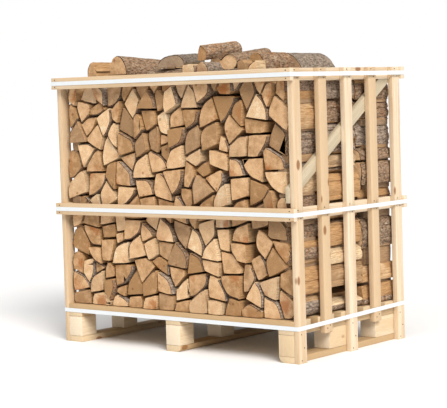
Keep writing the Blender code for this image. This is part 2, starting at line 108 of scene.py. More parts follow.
class LogSettings(PropertyGroup):
    outline_step: metres("Outline step", "Spacing of points round a log", 0.0065)
    exposed_step: metres("Exposed step", "Spacing of points along a log whose side shows", 0.010)
    end_chamfer: metres("End chamfer", "Wear along the edge of a sawn end", 0.0007)
    bark_thickness: metres("Bark thickness", "Bark seen as a rim on a sawn end", 0.0030)
    bark_relief: metres("Bark relief", "Depth of the furrows in the bark", 0.0028)
    shrinkage: metres("Shrinkage", "How far a log of a row stands back from its solid", 0.0012)
    split_relief: metres("Split relief", "Depth of the waves in a split side", 0.0026)
    side_bulge: metres("Side bulge", "Roundness of the logs along the side panels", 0.006)
    stick_reach: metres("Stick reach", "How far the thin sticks reach in between side logs", 0.050)
    crack_width: metres("Crack width", "Width of a drying crack at its mouth", 0.0024)
    crack_share: fraction("Cracked logs", "Share of the logs that show a drying crack", 0.35)
    outer_bark: fraction("Bark outside", "Share of the side logs laid with their bark outwards", 0.5)
    ring_width: metres("Growth ring", "Width of a growth ring", 0.0034)
    seed: seed_number(11)
    end_pale: tint("Pale end", "Sapwood of a pale sawn end", "#F8E8CA")
    end_light: tint("Light end", "Fresh sawn ends", "#EBCAA0")
    end_tan: tint("Tan end", "Most sawn ends", "#D9B287")
    end_brown: tint("Brown end", "Ends that have darkened", "#AD875D")
    end_stain: tint("Stained end", "Orange stain round the heart", "#A8642F")
    split_pale: tint("Pale split", "Freshly split side", "#F0D8B2")
    split_tan: tint("Tan split", "Darkened split side", "#C29A6C")
    weathered: tint("Weathered wood", "Wood that has gone grey outdoors", "#857B6E")
    bark_dark: tint("Bark furrows", "Bottom of the bark's furrows", "#2E2118")
    bark_rim: tint("Bark rim", "Bark where it is sawn through", "#55392A")
    bark_brown: tint("Brown bark", "Ridges of brown bark", "#A98C72")
    bark_grey: tint("Grey bark", "Ridges of grey bark", "#B5A291")
    bark_red: tint("Red bark", "Inner bark where the outer has come off", "#B98A62")
    lichen: tint("Lichen", "Lichen on the bark", "#D6CDB8")


class BoardSettings(PropertyGroup):
    edge_rounding: metres("Edge rounding", "Wear along a board's edges", 0.0012)
    wander: metres("Edge wander", "How far a sawn face strays from flat", 0.0009)
    cut_step: metres("Cut step", "Spacing of points along a board", 0.060)
    grain_width: metres("Grain width", "Spacing of the grain lines of the pine", 0.006)
    pine_pale: tint("Pale pine", "Early wood of the crate's battens", "#EADCC6")
    pine_dark: tint("Dark pine", "Late wood of the crate's battens", "#CFB593")
    pallet_pale: tint("Pale pallet wood", "Early wood of the pallet's boards", "#E2CFAF")
    pallet_dark: tint("Dark pallet wood", "Late wood of the pallet's boards", "#BFA27B")
    brace_pale: tint("Pale brace", "Early wood of the weathered braces", "#DFD6C2")
    brace_dark: tint("Dark brace", "Late wood of the weathered braces", "#BDB096")
    block_pale: tint("Pale block", "Early wood of the blocks", "#F0E4CF")
    block_dark: tint("Dark block", "Late wood of the blocks", "#D6BF9C")
    knot: tint("Knot", "Knots in the pine", "#8A5A30")
    seed: seed_number(5)


class StrapSettings(PropertyGroup):
    emboss_pitch: metres("Emboss pitch", "Spacing of the ribs pressed into the strap", 0.0024)
    white: tint("Strap white", "Colour of the strap", "#DCE3E8")


class NailSettings(PropertyGroup):
    head_diameter: metres("Nail head", "Diameter of a nail's head", 0.0045)
    head_height: metres("Head height", "How far a nail's head stands out", 0.0010)
    steel: tint("Nail steel", "Colour of the nails", "#4A443E")
    seed: seed_number(3)


class StudioSettings(PropertyGroup):
    floor: tint("Floor", "Colour of the studio floor", "#F3F5F8")
    backdrop: tint("Backdrop", "White that stands behind the object", "#FFFFFF")
    key_strength: strength("Key light", "Strength of the light from the right", 3.2)
    key_softness: softness("Key softness", "Apparent size of the key light", 26.0)
    fill_strength: strength("Fill light", "Strength of the light from the front", 0.4)
    overhead_strength: strength("Overhead light", "Strength of the light from above", 0.8)
    fill_softness: softness("Fill softness", "Apparent size of the other lights", 34.0)
    surroundings: strength("Surroundings", "Strength of the light all round", 0.34)


# Nodes and pieces

def give(tree, node, links):
    """Give each named input its value, the output that feeds it, or the first output of a node."""
    for name, value in links.items():
        if isinstance(value, Node):
            value = next(output for output in value.outputs if output.enabled)
        if isinstance(value, NodeSocket):
            tree.links.new(value, node.inputs[name])
        else:
            node.inputs[name].default_value = value


def add_node(tree, kind, links, stops=(), **settings):
    """Add a node with its settings and links. A kind without a prefix is a shader node."""
    node = tree.nodes.new(kind if "Node" in kind else "ShaderNode" + kind)
    for name, value in settings.items():
        setattr(node, name, value)
    for i, (position, colour) in enumerate(stops):
        ramp = node.color_ramp.elements
        element = ramp[i] if i < len(ramp) else ramp.new(1.0)
        element.position, element.color = position, colour
    give(tree, node, links)
    return node


def new_material(name):
    """A material, a function that adds a node to it, and one that finishes its shader."""
    material = bpy.data.materials.new(name)
    material.use_nodes = True
    tree = material.node_tree
    shader = tree.nodes["Principled BSDF"]

    def finish(colour, roughness, specular, height=None, strength=0.0, relief=0.0):
        give(tree, shader, {"Base Color": colour, "Roughness": roughness, "Specular IOR Level": specular})
        if height:
            bump = add_node(tree, "Bump", {"Strength": strength, "Distance": relief, "Height": height})
            give(tree, shader, {"Normal": bump})
        return shader

    return material, partial(add_node, tree), finish


def shown(name, data):
    """A new object in the scene, at the origin."""
    item = bpy.data.objects.new(name, data)
    bpy.context.scene.collection.objects.link(item)
    return item


def merged_copy(node):
    """A bmesh of a solid with its corners joined."""
    shape = bmesh.new()
    shape.from_mesh(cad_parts[node].data)
    bmesh.ops.remove_doubles(shape, verts=shape.verts, dist=1e-5)
    shape.verts.index_update()
    return shape


def new_piece(name, shape, materials, node):
    """Make a piece of a bmesh, hang it on the root body and hide the solid it stands for."""
    mesh = bpy.data.meshes.new(name)
    bmesh.ops.triangulate(shape, faces=[face for face in shape.faces if len(face.verts) > 4])
    shape.to_mesh(mesh)
    shape.free()
    for material in materials:
        mesh.materials.append(material)
    mesh.shade_smooth()
    mesh.set_sharp_from_angle(angle=math.radians(38.0))
    piece = shown(name, mesh)
    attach(piece, "root")
    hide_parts(node)


def grain_layers(shape):
    """Layers that the wood's patterns read: place in the wood, and shades that vary by piece."""
    layers = {"grain": shape.verts.layers.float_vector.new("grain")}
    for name in ("tone", "stain", "weather"):
        layers[name] = shape.verts.layers.float.new(name)
    return layers


# Wood, bark and strap

WHITE = linear("#FFFFFF")
MIXED = {"data_type": "RGBA"}
DARKENED = {"data_type": "RGBA", "blend_type": "MULTIPLY"}
ADDED = {"operation": "MULTIPLY_ADD"}
SOFT = {"interpolation_type": "SMOOTHSTEP"}
RINGS = {"wave_type": "RINGS", "rings_direction": "Z", "wave_profile": "SAW"}


def wood_attributes(add, *names):
    """The place in the wood that the mesh gives, and the named shades of its piece."""
    place = add("Attribute", {}, attribute_name="grain").outputs["Vector"]
    return [place] + [add("Attribute", {}, attribute_name=name).outputs["Fac"] for name in names]


def end_grain_material(log):
    """Chainsawn end of a hardwood log: rings round the heart, dull and a little furry."""
    material, add, finish = new_material("sawn_end_grain")
    place, tone, stain, weather = wood_attributes(add, "tone", "stain", "weather")
    rings = add("TexWave", {"Vector": place, "Scale": WAVE_TURN / log.ring_width,
                                      "Distortion": 3.5, "Detail": 3.0, "Detail Scale": 0.4,
                                      "Detail Roughness": 0.6}, **RINGS).outputs["Fac"]
    blotches = add("TexNoise", {"Vector": place, "Scale": 30.0, "Detail": 5.0, "Roughness": 0.65})
    fur = add("TexNoise", {"Vector": place, "Scale": 420.0, "Detail": 3.0, "Roughness": 0.7})
    dulled = add("Math", {0: tone, 1: 0.62, 2: -0.03}, **ADDED)
    shade = add("Math", {0: blotches, 1: 0.95, 2: dulled}, **ADDED)
    base = add("ValToRGB", {"Fac": shade},
               stops=((0.26, log.end_pale), (0.46, log.end_light), (0.72, log.end_tan),
                      (0.98, log.end_brown)))
    ring_shade = add("ValToRGB", {"Fac": rings}, stops=((0.0, linear("#B79A78")), (0.45, WHITE)))
    ringed = add("Mix", {0: 0.45, 6: base, 7: ring_shade}, **DARKENED)
    flat = add("VectorMath", {0: place, 1: (1.0, 1.0, 0.0)}, operation="MULTIPLY")
    reach = add("VectorMath", {0: flat}, operation="LENGTH")
    heart = add("Math", {0: blotches, 1: -0.09, 2: reach}, **ADDED)
    zone = add("MapRange", {"Value": heart, "From Min": 0.004, "From Max": -0.034}, **SOFT)
    often = add("MapRange", {"Value": stain, "From Min": 0.35, "From Max": 0.9, "To Max": 0.75},
                **SOFT)
    share = add("Math", {0: zone, 1: often}, operation="MULTIPLY")
    stained = add("Mix", {0: share, 6: ringed, 7: log.end_stain}, **MIXED)
    cells = add("TexVoronoi", {"Vector": place, "Scale": 13.0})
    knot = add("MapRange", {"Value": cells, "From Min": 0.11, "From Max": 0.05, "To Max": 0.7},
               **SOFT)
    knotted = add("Mix", {0: knot, 6: stained, 7: log.end_brown}, **DARKENED)
    greyed = add("Mix", {0: weather, 6: knotted, 7: log.weathered}, **MIXED)
    speckle = add("ValToRGB", {"Fac": fur}, stops=((0.32, linear("#B2A89B")), (0.58, WHITE)))
    speckled = add("Mix", {0: 0.5, 6: greyed, 7: speckle}, **DARKENED)
    ridges = add("TexNoise", {"Vector": place, "Scale": 85.0})
    height = add("Math", {0: rings, 1: 0.2, 2: fur}, **ADDED)
    uneven = add("Math", {0: ridges, 1: 3.0, 2: height}, **ADDED)
    finish(speckled, 0.85, 0.25, uneven, 0.8, 1.0 * MM)
    return material


def split_face_material(log):
    """Side of a log that was split with a wedge: long torn fibres, pale to tan."""
    material, add, finish = new_material("split_face")
    place, tone, weather = wood_attributes(add, "tone", "weather")
    along = add("Mapping", {"Vector": place, "Scale": (1.0, 1.0, 0.07)})
    fibres = add("TexNoise", {"Vector": along, "Scale": 330.0, "Detail": 5.0, "Roughness": 0.65})
    blotches = add("TexNoise", {"Vector": place, "Scale": 20.0, "Detail": 4.0})
    shade = add("Math", {0: blotches, 1: 0.9, 2: tone}, **ADDED)
    base = add("ValToRGB", {"Fac": shade}, stops=((0.40, log.split_pale), (1.0, log.split_tan)))
    lines = add("ValToRGB", {"Fac": fibres}, stops=((0.34, linear("#8D7860")), (0.60, WHITE)))
    colour = add("Mix", {0: 0.7, 6: base, 7: lines}, **DARKENED)
    greyed = add("Mix", {0: weather, 6: colour, 7: log.weathered}, **MIXED)
    finish(greyed, 0.8, 0.3, fibres, 0.9, 1.4 * MM)
    return material


def bark_material(log):
    """Dry bark: furrows along the trunk, brown or grey ridges, bare red patches and lichen."""
    material, add, finish = new_material("dry_bark")
    place, tone, stain, weather = wood_attributes(add, "tone", "stain", "weather")
    along = add("Mapping", {"Vector": place, "Scale": (1.0, 1.0, 0.45)})
    furrows = add("TexVoronoi", {"Vector": along, "Scale": 85.0}, feature="DISTANCE_TO_EDGE")
    rough = add("TexNoise", {"Vector": along, "Scale": 150.0, "Detail": 6.0, "Roughness": 0.7})
    patches = add("TexNoise", {"Vector": place, "Scale": 24.0, "Detail": 5.0, "Roughness": 0.65})
    greyness = add("MapRange", {"Value": stain, "From Min": 0.45, "From Max": 0.8}, **SOFT)
    ridge = add("Mix", {0: greyness, 6: log.bark_brown, 7: log.bark_grey}, **MIXED)
    red_zone = add("Math", {0: tone, 1: 0.22, 2: patches}, **ADDED)
    red_share = add("MapRange", {"Value": red_zone, "From Min": 0.68, "From Max": 0.84,
                                           "To Max": 0.65}, **SOFT)
    reddened = add("Mix", {0: red_share, 6: ridge, 7: log.bark_red}, **MIXED)
    spots = add("TexNoise", {"Vector": place, "Scale": 75.0, "Detail": 4.0, "Roughness": 0.6})
    lichen_share = add("MapRange", {"Value": spots, "From Min": 0.58, "From Max": 0.66,
                                              "To Max": 0.7}, **SOFT)
    spotted = add("Mix", {0: lichen_share, 6: reddened, 7: log.lichen}, **MIXED)
    greyed = add("Mix", {0: weather, 6: spotted, 7: log.weathered}, **MIXED)
    grime = add("ValToRGB", {"Fac": rough}, stops=((0.36, log.bark_dark), (0.60, WHITE)))
    darkened = add("Mix", {0: 0.8, 6: greyed, 7: grime}, **DARKENED)
    height = add("Math", {0: furrows, 1: 1.2, 2: rough}, **ADDED)
    finish(darkened, 0.92, 0.2, height, 1.0, 3.0 * MM)
    return material


def bark_rim_material(log):
    """Bark sawn through at a log's end: a thin dark red-brown line round the wood."""
    material, add, finish = new_material("sawn_bark_rim")
    place, = wood_attributes(add)
    cork = add("TexNoise", {"Vector": place, "Scale": 300.0, "Detail": 3.0})
    shade = add("ValToRGB", {"Fac": cork}, stops=((0.35, log.bark_dark), (0.65, log.bark_rim)))
    finish(shade, 0.9, 0.2)
    return material


def pine_material(name, board, pale, dark):
    """Rough-sawn pine: grain lines along the board, a few knots, dull with faint saw marks."""
    material, add, finish = new_material(name)
    place, tone = wood_attributes(add, "tone")
    slow = add("Mapping", {"Vector": place, "Scale": (1.0, 1.0, 0.05)})
    bend = add("TexNoise", {"Vector": slow, "Scale": 60.0})
    grain = add("TexWave", {"Vector": slow, "Scale": WAVE_TURN / board.grain_width,
                                      "Distortion": 5.0, "Detail": 3.0, "Detail Scale": 0.6,
                                      "Detail Roughness": 0.6},
                wave_profile="SAW").outputs["Fac"]
    fibres = add("TexNoise", {"Vector": slow, "Scale": 700.0, "Detail": 4.0, "Roughness": 0.7})
    shift = add("Math", {0: grain, 1: 0.35, 2: bend}, **ADDED)
    shifted = add("Math", {0: tone, 1: 0.55, 2: shift}, **ADDED)
    base = add("ValToRGB", {"Fac": shifted}, stops=((0.45, pale), (1.0, dark)))
    stretched = add("Mapping", {"Vector": place, "Scale": (1.0, 1.0, 0.55)})
    cells = add("TexVoronoi", {"Vector": stretched, "Scale": 9.0})
    knot_share = add("MapRange", {"Value": cells, "From Min": 0.12, "From Max": 0.07,
                                            "To Max": 0.85}, **SOFT)
    knotted = add("Mix", {0: knot_share, 6: base, 7: board.knot}, **MIXED)
    lines = add("ValToRGB", {"Fac": fibres}, stops=((0.30, (0.80, 0.75, 0.68, 1.0)), (0.60, WHITE)))
    colour = add("Mix", {0: 0.5, 6: knotted, 7: lines}, **DARKENED)
    finish(colour, 0.72, 0.3, fibres, 0.5, 0.5 * MM)
    return material


def board_end_material(name, pale, dark):
    """Sawn end of a pine board: rough, darker than its sides, with arcs of growth rings."""
    material, add, finish = new_material(name)
    place, = wood_attributes(add)
    rings = add("TexWave", {"Vector": place, "Scale": WAVE_TURN / (3.5 * MM), "Distortion": 1.5,
                                      "Detail": 2.0, "Detail Scale": 0.3}, **RINGS).outputs["Fac"]
    fur = add("TexNoise", {"Vector": place, "Scale": 600.0, "Detail": 3.0, "Roughness": 0.7})
    base = add("ValToRGB", {"Fac": rings}, stops=((0.0, dark), (0.5, pale)))
    speckle = add("ValToRGB", {"Fac": fur}, stops=((0.30, (0.66, 0.62, 0.56, 1.0)), (0.62, WHITE)))
    colour = add("Mix", {0: 0.6, 6: base, 7: speckle}, **DARKENED)
    finish(colour, 0.85, 0.2, fur, 0.6, 0.7 * MM)
    return material


def strap_material(strap):
    """White polyester strap, pressed with fine cross ribs, smooth between them."""
    material, add, finish = new_material("white_polyester_strap")
    place = add("TexCoord", {}).outputs["Object"]
    turned = add("Mapping", {"Vector": place, "Rotation": (0.0, 0.0, math.radians(45.0))})
    ribs = add("TexWave", {"Vector": turned, "Scale": WAVE_TURN / strap.emboss_pitch},
               bands_direction="DIAGONAL").outputs["Fac"]
    shader = finish(strap.white, 0.38, 0.5, ribs, 0.35, 0.15 * MM)
    shader.inputs["IOR"].default_value = 1.57
    return material


def nail_material(nail):
    """Bright steel wire nails gone dull: dark grey-brown metal."""
    material, add, finish = new_material("dull_nail_steel")
    place = add("TexCoord", {}).outputs["Object"]
    tarnish = add("TexNoise", {"Vector": place, "Scale": 900.0, "Detail": 3.0})
    shade = add("ValToRGB", {"Fac": tarnish},
                stops=((0.3, (0.03, 0.026, 0.022, 1.0)), (0.7, nail.steel)))
    finish(shade, 0.5, 0.5).inputs["Metallic"].default_value = 0.85
    return material


# Logs

class Section:
    """The end of a log: its outline in the plane of the end, and the way the log runs."""

    def __init__(self, outline, origin, across, run):
        self.outline = outline
        self.origin = origin
        self.across = across
        self.run = run
        self.bark = bark_edges(outline)
        self.heart = heart_of(outline, self.bark)

    def point(self, flat, depth):
        """The place in space of a point of the section, at a distance along the log."""
        away = self.run.normalized() * depth
        return self.origin + self.across * flat.x + Vector((0.0, 0.0, flat.y)) + away


def islands_of(faces):
    """Groups of faces that share edges."""
    left = set(faces)
    while left:
        group, waiting = set(), [left.pop()]
        while waiting:
            face = waiting.pop()
            group.add(face)
            for edge in face.edges:
                for other in edge.link_faces:
                    if other in left:
                        left.remove(other)
                        waiting.append(other)
        yield group


def in_order(corners):
    """Each corner once, in the same order every run."""
    return sorted(set(corners), key=lambda vert: vert.index)


def middle_of(points):
    return sum(points, Vector((0.0, 0.0))) / len(points)


def rounded_order(points):
    """Corners of a convex outline, anticlockwise."""
    centre = middle_of(points)
    return sorted(points, key=lambda p: math.atan2(p.y - centre.y, p.x - centre.x))


def edges_of(outline):
    return list(zip(outline, outline[1:] + outline[:1]))


def turn_at(outline, i):
    """How sharply an outline turns at a corner."""
    before = outline[i] - outline[i - 1]
    after = outline[(i + 1) % len(outline)] - outline[i]
    return before.angle(after, 0.0)


def bark_edges(outline):
    """Which edges of an outline are its round side: edge i runs from corner i to the next."""
    count = len(outline)
    turns = [turn_at(outline, i) for i in range(count)]
    gentle = [math.radians(6.0) < turn < HARD_TURN for turn in turns]
    if sum(gentle) >= count - 1:
        return [True] * count
    best, best_turn = [], math.radians(18.0)
    for start in range(count):
        if gentle[start] and not gentle[start - 1]:
            run = []
            while gentle[(start + len(run)) % count] and len(run) < count:
                run.append((start + len(run)) % count)
            total = sum(turns[i] for i in run)
            if total > best_turn:
                best, best_turn = run, total
    edges = [False] * count
    for i in best:
        edges[i] = True
        edges[i - 1] = True
    return edges


def heart_of(outline, bark):
    """Where the middle of the trunk was, from the curve of the bark."""
    count = len(outline)
    centre = middle_of(outline)
    if all(bark):
        return centre
    arc = [i for i in range(count) if bark[i]]
    if not arc:
        return centre + (outline[0] - centre) * 1.6
    edges = [edges_of(outline)[i] for i in arc]
    length = sum((end - start).length for start, end in edges)
    turned = sum(turn_at(outline, i) for i in arc if bark[i - 1])
    radius = min(max(length / max(turned, 0.3) * 0.75, 0.035), 0.12)
    middle = middle_of([start + end for start, end in edges]) / 2
    chord = sum((end - start for start, end in edges), Vector((0.0, 0.0)))
    return middle + Vector((-chord.y, chord.x)).normalized() * radius


def row_sections(node, facing, zone):
    """The sections of the logs whose ends show on one face of a row."""
    edge, far = sorted((corner.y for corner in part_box(node)), reverse=facing > 0)
    shape = merged_copy(node)
    ends = [face for face in shape.faces
            if face.normal.y * facing > 0.999 and abs(face.calc_center_median().y - edge) < zone]
    sections = []
    for group in islands_of(ends):
        corners = in_order(vert for face in group for vert in face.verts)
        depth = corners[0].co.y
        outline = rounded_order([Vector((vert.co.x * -facing, vert.co.z)) for vert in corners])
        sections.append(Section(outline, Vector((0.0, depth, 0.0)), Vector((-facing, 0.0, 0.0)),
                                Vector((0.0, far - depth, 0.0))))
    shape.free()
    sections.sort(key=lambda section: (round(section.heart.y, 4), round(section.heart.x, 4)))
    return sections


def loose_section(node):
    """The section of a loose log, from its nearer end; its edges run mostly one way."""
    shape = merged_copy(node)
    ways = [edge.verts[1].co - edge.verts[0].co for edge in shape.edges]
    ways = [-way if way.x + way.y < 0.0 else way for way in ways]
    run = max(ways, key=lambda way: sum((way - other).length < 1e-4 for other in ways))
    normal = min(shape.faces, key=lambda face: face.normal.dot(run)).normal.copy()
    across = Vector((-normal.y, normal.x, 0.0)).normalized()
    corners = in_order(vert for face in shape.faces if face.normal.dot(normal) > 0.999
                       for vert in face.verts)
    origin = min(corners, key=lambda vert: vert.co.z).co.copy()
    outline = rounded_order([Vector(((vert.co - origin).dot(across), vert.co.z - origin.z))
                             for vert in corners])
    shape.free()
    return Section(outline, origin, across, run)


def refined(section, step):
    """Points round a section with their outward normals and whether they carry bark."""
    points, normals, bark, is_corner = [], [], [], []
    for i, (start, end) in enumerate(edges_of(section.outline)):
        pieces = max(1, round((end - start).length / step))
        side = (end - start).normalized()
        for j in range(pieces):
            points.append(start.lerp(end, j / pieces))
            normals.append(Vector((side.y, -side.x)))
            bark.append(section.bark[i])
            is_corner.append(j == 0 and turn_at(section.outline, i) > HARD_TURN)
    for smoothing in range(4):
        points = [point if is_corner[i] and smoothing else
                  (points[i - 1] + point * 2 + points[(i + 1) % len(points)]) / 4
                  for i, point in enumerate(points)]
    normals = [(normals[i - 1] + normal).normalized() if normals[i - 1].dot(normal) > -0.9 else normal
               for i, normal in enumerate(normals)]
    return points, normals, bark


def turned_to_wall(points, bark, bulge, has_bark):
    """Round off the side of a log that lies along a side panel, and turn its bark outwards."""
    reach = max(abs(point.x) for point in points)
    touching = [i for i, point in enumerate(points) if abs(point.x) > reach - 2 * MM]
    if len(touching) < 3:
        return
    heights = [points[i].y for i in touching]
    middle, half = (max(heights) + min(heights)) / 2, (max(heights) - min(heights)) / 2
    for i in touching:
        share = (points[i].y - middle) / half
        drop = min(bulge, half * 0.35) * share * share
        points[i] = points[i] - Vector((math.copysign(drop, points[i].x), 0.0))
        if has_bark:
            bark[i] = True


def cracked(points, normals, bark, heart, draw, log):
    """Cut one drying crack from the outline towards the heart, as three points."""
    i = draw.randrange(len(points))
    centre = middle_of(points)
    inwards = heart.lerp(centre, 0.5) - points[i]
    if inwards.length < 0.012:
        return
    depth = min(inwards.length * draw.uniform(0.3, 0.62), (centre - points[i]).length * 0.85)
    side = Vector((-normals[i].y, normals[i].x)) * log.crack_width / 2
    tip = points[i] + inwards.normalized() * depth
    points[i:i + 1] = [points[i] - side, tip, points[i] + side]
    normals[i:i + 1] = [normals[i], Vector((0.0, 0.0)), normals[i]]
    bark[i:i + 1] = [bark[i], bark[i], bark[i]]


def ring_depths(length, step, chamfer):
    """Distances along a log of its rings of points, with one just inside each end."""
    count = max(2, round(length / step))
    inner = [chamfer + (length - 2 * chamfer) * i / count for i in range(count + 1)]
    return [0.0] + inner + [length]


def add_log(shape, layers, section, draw, log, is_exposed, is_outside=False, look=None):
    """One split log: sawn ends, bark with furrows on its round side, torn fibres on the others."""
    points, normals, bark = refined(section, log.outline_step * (1.0 if is_exposed else 1.3))
    has_outer_bark = draw.random() < log.outer_bark
    if is_outside:
        turned_to_wall(points, bark, log.side_bulge, has_outer_bark)
    if draw.random() < log.crack_share:
        cracked(points, normals, bark, section.heart, draw, log)
    length = section.run.length
    drawn = draw.random(), draw.random(), max(0.0, draw.uniform(-0.5, 0.25))
    shades = list(zip(("tone", "stain", "weather"), look or drawn))
    shift = draw.uniform(0.0, 40.0)
    relief = 1.0 if is_exposed else 0.7
    shrinkage = 0.0 if look else log.shrinkage
    centre = middle_of(points)
    tilt = Vector((draw.uniform(-0.06, 0.06), draw.uniform(-0.06, 0.06)))
    taper = draw.uniform(0.0, 0.05)
    depths = ring_depths(length, log.exposed_step if is_exposed else length / 3, log.end_chamfer)

    def add_vertex(flat, depth):
        vertex = shape.verts.new(section.point(flat, depth))
        from_heart = flat - section.heart
        vertex[layers["grain"]] = (from_heart.x, from_heart.y, depth + shift)
        for name, value in shades:
            vertex[layers[name]] = value
        return vertex

    rings = []
    for k, depth in enumerate(depths):
        is_end = k in (0, len(depths) - 1)
        ring = []
        for point, normal, is_bark in zip(points, normals, bark):
            coarse, fine = (Vector((point.x * round_it, point.y * round_it, depth * along + shift))
                            for round_it, along in (COARSE_WAVES, FINE_WAVES))
            sunk = (log.bark_relief if is_bark else log.split_relief) * relief
            sunk *= 0.5 + 0.5 * noise.noise(coarse) + 0.35 * noise.noise(fine)
            flat = point - normal * (max(0.0, sunk) + shrinkage + (log.end_chamfer if is_end else 0.0))
            flat = flat + (centre - flat) * taper * depth / length
            lean = max(0.0, (flat - centre).dot(tilt)) if k < 2 else 0.0
            ring.append(add_vertex(flat, depth + lean))
        rings.append(ring)
    count = len(points)
    for k in range(len(rings) - 1):
        for i in range(count):
            j = (i + 1) % count
            face = shape.faces.new((rings[k][i], rings[k + 1][i], rings[k + 1][j], rings[k][j]))
            face.material_index = BARK if bark[i] and bark[j] else SPLIT
    rim = log.bark_thickness
    near, far = rings[0], rings[-1]
    for ring, inwards in ((near, 1), (far, -1)):
        inner = []
        for vertex, point, normal, is_bark in zip(ring, points, normals, bark):
            inset = (rim if is_bark else log.end_chamfer) + 2 * log.end_chamfer
            depth = (vertex.co - section.origin).dot(section.run.normalized())
            flat = point - normal * (inset + shrinkage)
            if inwards < 0:
                flat = flat + (centre - flat) * taper
            inner.append(add_vertex(flat, depth))
        for i in range(count):
            j = (i + 1) % count
            face = shape.faces.new((ring[j], inner[j], inner[i], ring[i])[::inwards])
            face.material_index = RIM if bark[i] and bark[j] else END
        shape.faces.new(inner[::-inwards]).material_index = END


def is_top_log(section, others):
    """Whether nothing lies above a log."""
    top = max(section.outline, key=lambda point: point.y)
    centre = middle_of(section.outline)
    above = [middle_of(other.outline) for other in others if other is not section]
    return not any(other.y > top.y and abs(other.x - centre.x) < LOG_SPACING for other in above)


def height_gaps(sections, across):
    """Heights between the logs of a row at a place across it, and how far back the gap starts."""
    filled = []
    for section in sections:
        place = across * section.across.x
        crossings = [start.lerp(end, (place - start.x) / (end.x - start.x)).y
                     for start, end in edges_of(section.outline)
                     if (start.x - place) * (end.x - place) < 0.0]
        if crossings:
            filled.append((min(crossings), max(crossings), section.origin.y))
    filled.sort()
    deeper = max if sections[0].run.y > 0.0 else min
    return [(below[1], above[0], deeper(below[2], above[2]))
            for below, above in zip(filled, filled[1:]) if above[0] > below[1]]


def add_shade_sticks(shape, layers, sections, wall, draw, log):
    """Thin sticks in between the side logs, so that the sides can't be looked through; their dark, greyed
    look is painted shade for the gaps.
    """
    run = sections[0].run
    for sign in (-1.0, 1.0):
        for low, high, front in height_gaps(sections, sign * (wall - 14 * MM)):
            near, far = sorted(sign * place * sections[0].across.x
                               for place in (wall - 4 * MM, wall - log.stick_reach))
            outline = [Vector((near, low - 7 * MM)), Vector((far, low - draw.uniform(6, 8) * MM)),
                       Vector((far, high + 7 * MM)), Vector((near, high + draw.uniform(6, 8) * MM))]
            depth = draw.uniform(4, 8) * MM
            origin = Vector((0.0, front, 0.0)) + run.normalized() * depth
            stick = Section(outline, origin, sections[0].across, run * 0.8)
            # Dark, greyed look: painted shade standing in for the shadow in the gaps between the side logs.
            look = (draw.uniform(0.8, 1.0), 0.0, draw.uniform(0.2, 0.6))
            add_log(shape, layers, stick, draw, log, False, look=look)


def wood_materials(log):
    """End grain, split face, bark and its sawn rim, made once, in the order END, SPLIT, BARK, RIM."""
    makers = (("sawn_end_grain", end_grain_material), ("split_face", split_face_material),
              ("dry_bark", bark_material), ("sawn_bark_rim", bark_rim_material))
    return [bpy.data.materials.get(name) or make(log) for name, make in makers]


class FIREWOOD_OT_log_rows(Operator):
    """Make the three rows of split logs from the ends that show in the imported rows"""
    bl_idname = "firewood.log_rows"
    bl_label = "Log Rows"

    def execute(self, context):
        log = context.scene.firewood_log
        for node, facing, zone in (("log_row_front", -1, 0.050), ("log_row_middle", -1, 0.0006),
                                   ("log_row_back", 1, 0.050)):
            draw = random.Random(log.seed + len(node))
            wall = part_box(node)[1].x
            shape = bmesh.new()
            layers = grain_layers(shape)
            sections = row_sections(node, facing, zone)
            if not sections:
                raise RuntimeError(f"{node} shows no log ends")
            for section in sections:
                is_outside = max(abs(point.x) for point in section.outline) > wall - 30 * MM
                is_exposed = is_outside or is_top_log(section, sections)
                add_log(shape, layers, section, draw, log, is_exposed, is_outside)
            if node != "log_row_middle":
                add_shade_sticks(shape, layers, sections, PILE_SIDE, draw, log)
            new_piece(node.replace("log_row", "split_logs"), shape, wood_materials(log),
                      node)
        return {"FINISHED"}


LOOSE_LOOKS = {  # tone, stain and weathering of the loose logs
    1: (0.55, 0.9, 0.0), 2: (0.45, 0.3, 0.0), 3: (0.6, 0.9, 0.7), 4: (0.0, 0.1, 0.1),
    5: (0.1, 0.7, 0.3), 6: (0.9, 0.5, 0.0), 7: (0.35, 0.3, 0.1), 8: (1.0, 0.8, 0.2),
    9: (0.1, 0.1, 0.0), 10: (0.9, 0.35, 0.0), 11: (0.5, 0.95, 0.45), 12: (0.8, 0.4, 0.3),
    # Log 13 is given a dark, grey look as painted shade: it lies partly in the shadow of log 3.
    13: (0.8, 0.4, 0.4), 14: (0.3, 0.2, 0.3),
}


class FIREWOOD_OT_loose_logs(Operator):
    """Make the loose logs on top of the pile"""
    bl_idname = "firewood.loose_logs"
    bl_label = "Loose Logs"

    def execute(self, context):
        log = context.scene.firewood_log
        nodes = [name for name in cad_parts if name.startswith("loose_log")]
        for node in sorted(nodes, key=lambda name: int(name.split("_")[-1])):
            number = int(node.split("_")[-1])
            draw = random.Random(log.seed * 7 + number)
            shape = bmesh.new()
            layers = grain_layers(shape)
            add_log(shape, layers, loose_section(node), draw, log, True, look=LOOSE_LOOKS.get(number))
            new_piece(node.replace("loose_log", "top_log"), shape, wood_materials(log),
                      node)
        return {"FINISHED"}


# Boards

